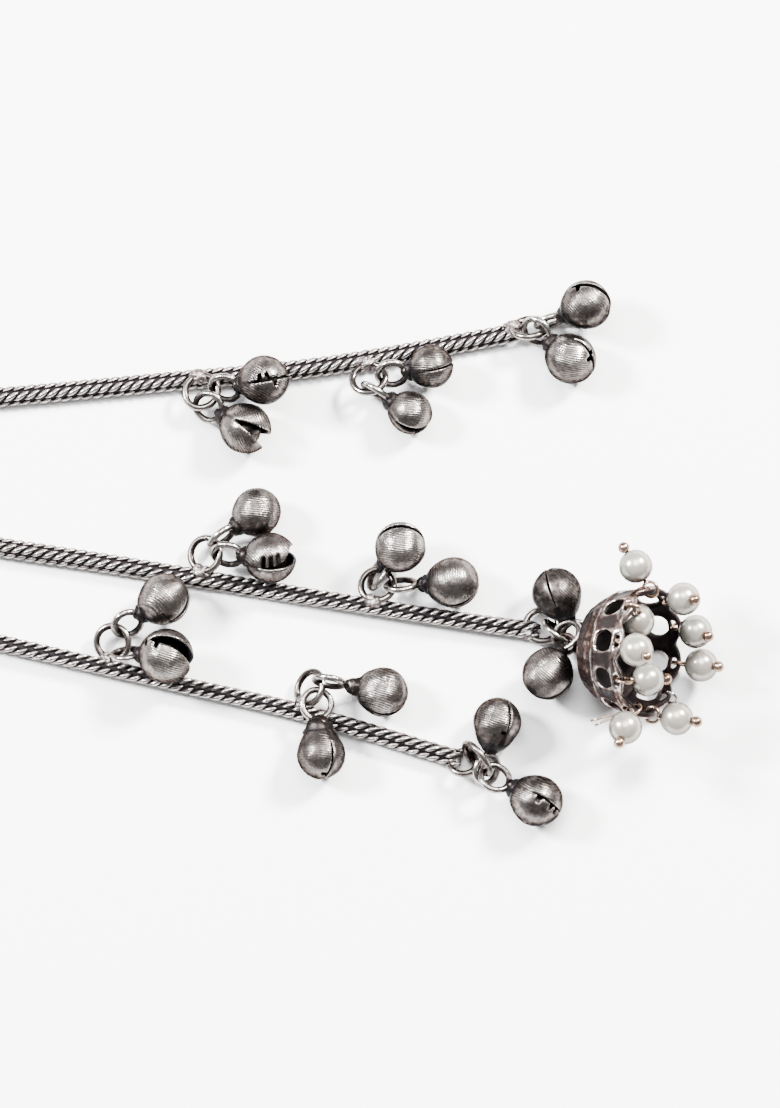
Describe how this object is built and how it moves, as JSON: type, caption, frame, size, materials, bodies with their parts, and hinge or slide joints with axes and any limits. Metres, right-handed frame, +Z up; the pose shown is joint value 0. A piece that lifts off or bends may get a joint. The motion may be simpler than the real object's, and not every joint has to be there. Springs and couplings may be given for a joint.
{
  "type": "long drop earring",
  "caption": "Long drop earring of woven silver chain strands with hung jingle bells, a pierced dome fringed with pearls and an ear hook.",
  "frame": {"origin": "bottom centre of the bounding box, on the surface the earring lies on", "axes": "+X along the strands from the ear hook towards the pearls, +Y across them towards the top strand, +Z up from the surface"},
  "size_m": [0.168, 0.0664, 0.0202],
  "materials": {
    "oxidised_chain": "oxidised silver, woven, bright on the high grains",
    "oxidised_bell": "oxidised silver, turned and worn bright",
    "polished_silver": "polished silver wire",
    "dark_silver": "dark oxidised silver with bright edges and copper-brown patches",
    "pearl": "lustrous creamy white pearl",
    "warm_pin_metal": "pale pinkish gold, polished"
  },
  "bodies": {
    "root": {"strand_top": "oxidised_chain", "strand_middle": "oxidised_chain", "strand_bottom": "oxidised_chain", "bell_top_1_a": "oxidised_bell", "bell_top_1_b": "oxidised_bell", "bell_top_2_a": "oxidised_bell", "bell_top_2_b": "oxidised_bell", "bell_top_3_a": "oxidised_bell", "bell_top_3_b": "oxidised_bell", "bell_middle_1_a": "oxidised_bell", "bell_middle_1_b": "oxidised_bell", "bell_middle_2_a": "oxidised_bell", "bell_middle_2_b": "oxidised_bell", "bell_middle_3_a": "oxidised_bell", "bell_middle_3_b": "oxidised_bell", "bell_bottom_1_a": "oxidised_bell", "bell_bottom_1_b": "oxidised_bell", "bell_bottom_2_a": "oxidised_bell", "bell_bottom_2_b": "oxidised_bell", "bell_bottom_3_a": "oxidised_bell", "bell_bottom_3_b": "oxidised_bell", "ear_hook": "polished_silver", "top_ring": "polished_silver", "drop_ring": "polished_silver", "link_ring": "polished_silver", "open_ring": "polished_silver", "dome": "dark_silver", "pearl_0": "pearl", "pearl_1": "pearl", "pearl_2": "pearl", "pearl_3": "pearl", "pearl_5": "pearl", "pearl_6": "pearl", "pearl_7": "pearl", "pearl_8": "pearl", "pearl_9": "pearl", "head_pin_0": "warm_pin_metal", "head_pin_1": "warm_pin_metal", "head_pin_2": "warm_pin_metal", "head_pin_3": "warm_pin_metal", "head_pin_5": "warm_pin_metal", "head_pin_6": "warm_pin_metal", "head_pin_7": "warm_pin_metal", "head_pin_8": "warm_pin_metal", "head_pin_9": "warm_pin_metal"}
  },
  "joints": []
}
